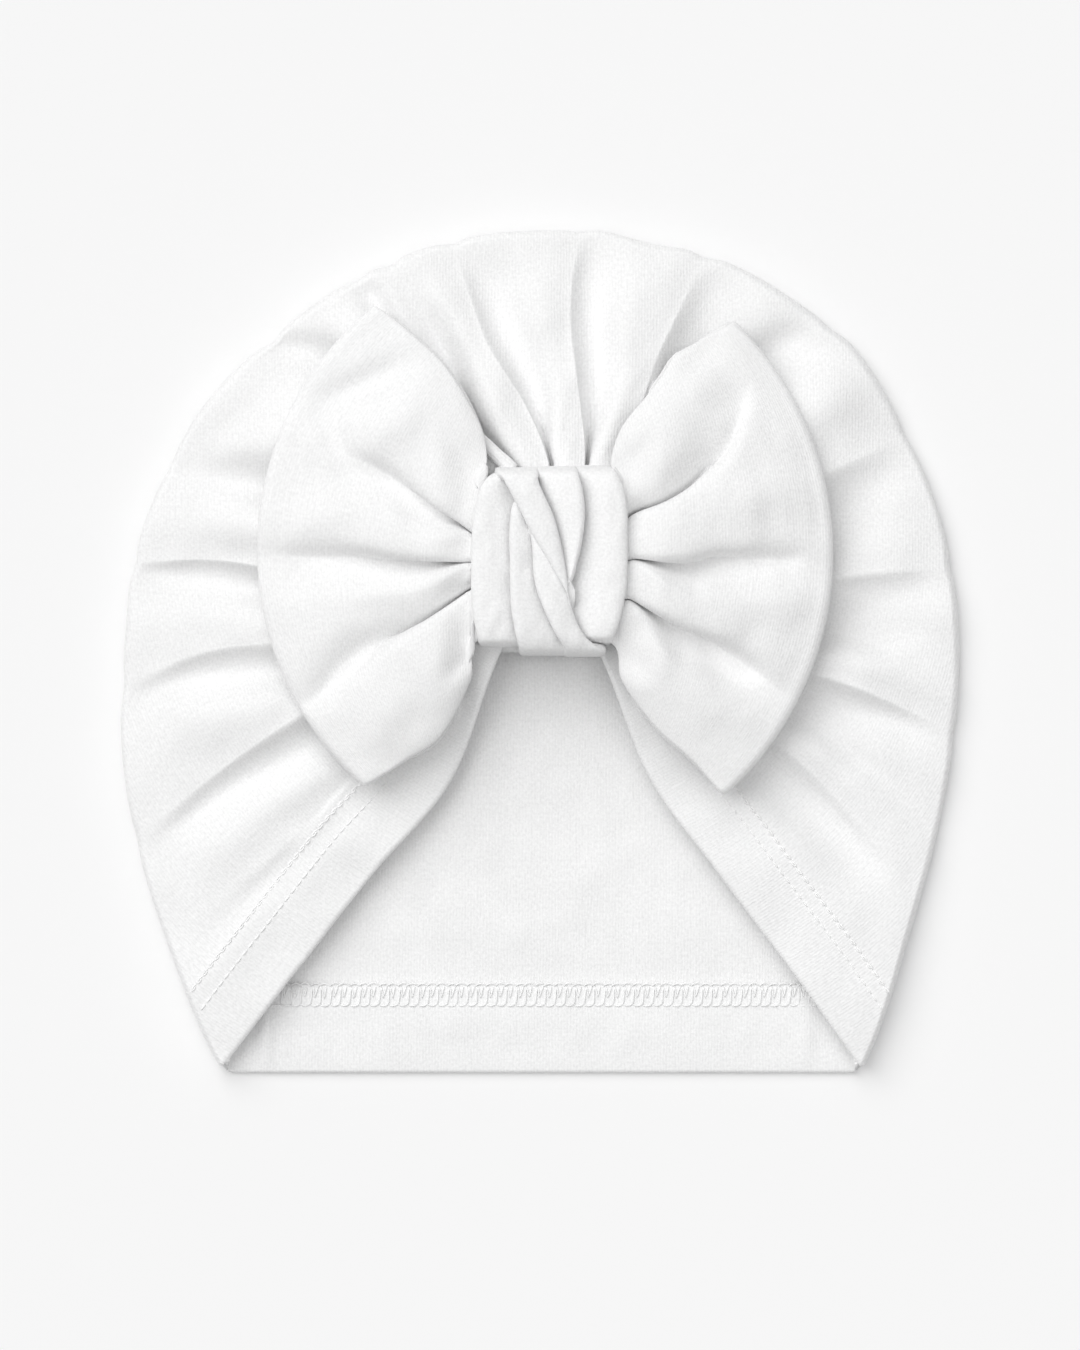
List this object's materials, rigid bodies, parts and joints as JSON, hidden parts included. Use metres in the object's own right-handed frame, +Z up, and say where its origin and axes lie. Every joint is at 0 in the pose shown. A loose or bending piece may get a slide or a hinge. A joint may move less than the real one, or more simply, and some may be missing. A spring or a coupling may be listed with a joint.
{
  "type": "baby's knitted headwrap with a bow",
  "caption": "White knitted baby's headwrap lying flat: radial pleats gathered to a knot with a two-loop bow, and an open hemmed face edge.",
  "frame": {"origin": "on the resting plane, under the middle of the cap's outline", "axes": "+X to the right and +Y towards the crown as it lies with the bow up, +Z up out of the bow"},
  "size_m": [0.1759, 0.1769, 0.0256],
  "materials": {
    "jersey": "matte"
  },
  "bodies": {
    "root": {"cap_shell": "jersey", "brim_hem_back": "jersey", "brim_hem_left": "jersey", "brim_hem_right": "jersey", "bow_loop_left": "jersey", "bow_loop_right": "jersey", "knot_wrap_left": "jersey", "knot_fold_left": "jersey", "knot_fold_low": "jersey", "knot_cross": "jersey", "knot_fold_right": "jersey", "knot_wrap_right": "jersey", "knot_inner_band": "jersey"}
  },
  "joints": []
}
